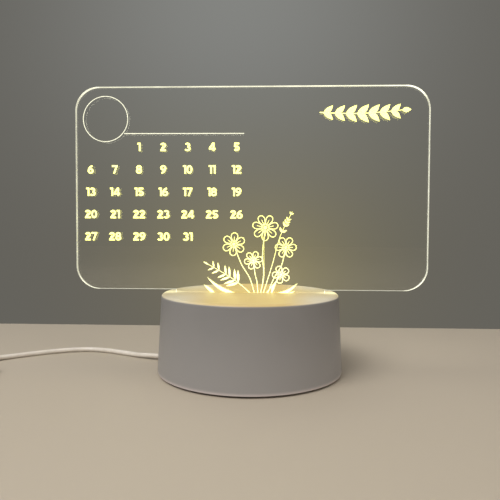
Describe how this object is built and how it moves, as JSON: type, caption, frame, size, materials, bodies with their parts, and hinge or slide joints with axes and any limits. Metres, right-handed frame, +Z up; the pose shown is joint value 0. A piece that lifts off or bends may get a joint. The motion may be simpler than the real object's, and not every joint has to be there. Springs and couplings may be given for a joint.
{
  "type": "led writing board",
  "caption": "Clear rounded writing board with an engraved month grid, standing in the slot of a round tapered LED base with a USB lead and an in-line switch.",
  "frame": {"origin": "on the table under the centre of the round base", "axes": "+Z up, +X along the board's width, to the right as seen from the engraved writing side, +Y through the board to its plain back"},
  "size_m": [0.3468, 0.1683, 0.193],
  "materials": {
    "housing": "fine satin moulding",
    "foot_rubber": "matte",
    "acrylic": "polished clear sheet, engraved on the front",
    "strip": "white solder mask",
    "lamp_chip": "phosphor gel",
    "chip_black": "matte",
    "lead": "satin jacket",
    "core_red": "satin",
    "core_black": "satin",
    "switch_case": "satin moulding",
    "tie": "matte",
    "screw": "zinc plated",
    "contact": "plated",
    "plug_metal": "nickel plated",
    "plug_tongue": "matte"
  },
  "bodies": {
    "base": {"base_shell": "housing", "base_cover": "housing", "foot_1": "foot_rubber", "foot_2": "foot_rubber", "foot_3": "foot_rubber", "foot_4": "foot_rubber", "led_carrier": "housing", "led_board": "strip", "strain_relief": "lead", "cord_clamp": "housing", "cord_lead": "lead", "lead_red": "core_red", "lead_black": "core_black", "switch_case_bottom": "switch_case", "switch_case_top": "switch_case", "cord_run": "lead", "cord_link": "lead", "cord_coil": "lead", "cord_tail": "lead", "cord_tie": "tie", "usb_plug_body": "lead", "usb_plug_shell": "plug_metal", "usb_plug_tongue": "plug_tongue", "led_01": "lamp_chip", "led_02": "lamp_chip", "led_03": "lamp_chip", "led_04": "lamp_chip", "led_05": "lamp_chip", "led_06": "lamp_chip", "led_07": "lamp_chip", "led_08": "lamp_chip", "led_09": "lamp_chip", "led_10": "lamp_chip", "resistor_1": "chip_black", "resistor_2": "chip_black", "resistor_3": "chip_black", "cover_screw_1": "screw", "usb_contact_1": "contact", "cover_screw_2": "screw", "usb_contact_2": "contact", "cover_screw_3": "screw", "usb_contact_3": "contact", "cover_screw_4": "screw", "usb_contact_4": "contact", "carrier_screw_1": "screw", "clamp_screw_1": "screw", "switch_screw_1": "screw", "switch_contact_1": "contact", "carrier_screw_2": "screw", "clamp_screw_2": "screw", "switch_screw_2": "screw", "switch_contact_2": "contact"},
    "board": {"acrylic_board": "acrylic"},
    "rocker": {"switch_rocker": "switch_case"}
  },
  "joints": [
    {"name": "board_lift", "type": "slide", "parent": "base", "child": "board", "axis": [0, 0, 1], "range_m": [0, 0.02]},
    {"name": "switch_rocker_tilt", "type": "hinge", "parent": "base", "child": "rocker", "pos_m": [-0.20981, -0.03597, 0.0086], "axis": [0.9063, -0.4226, 0], "range_deg": [-14, 0]}
  ]
}
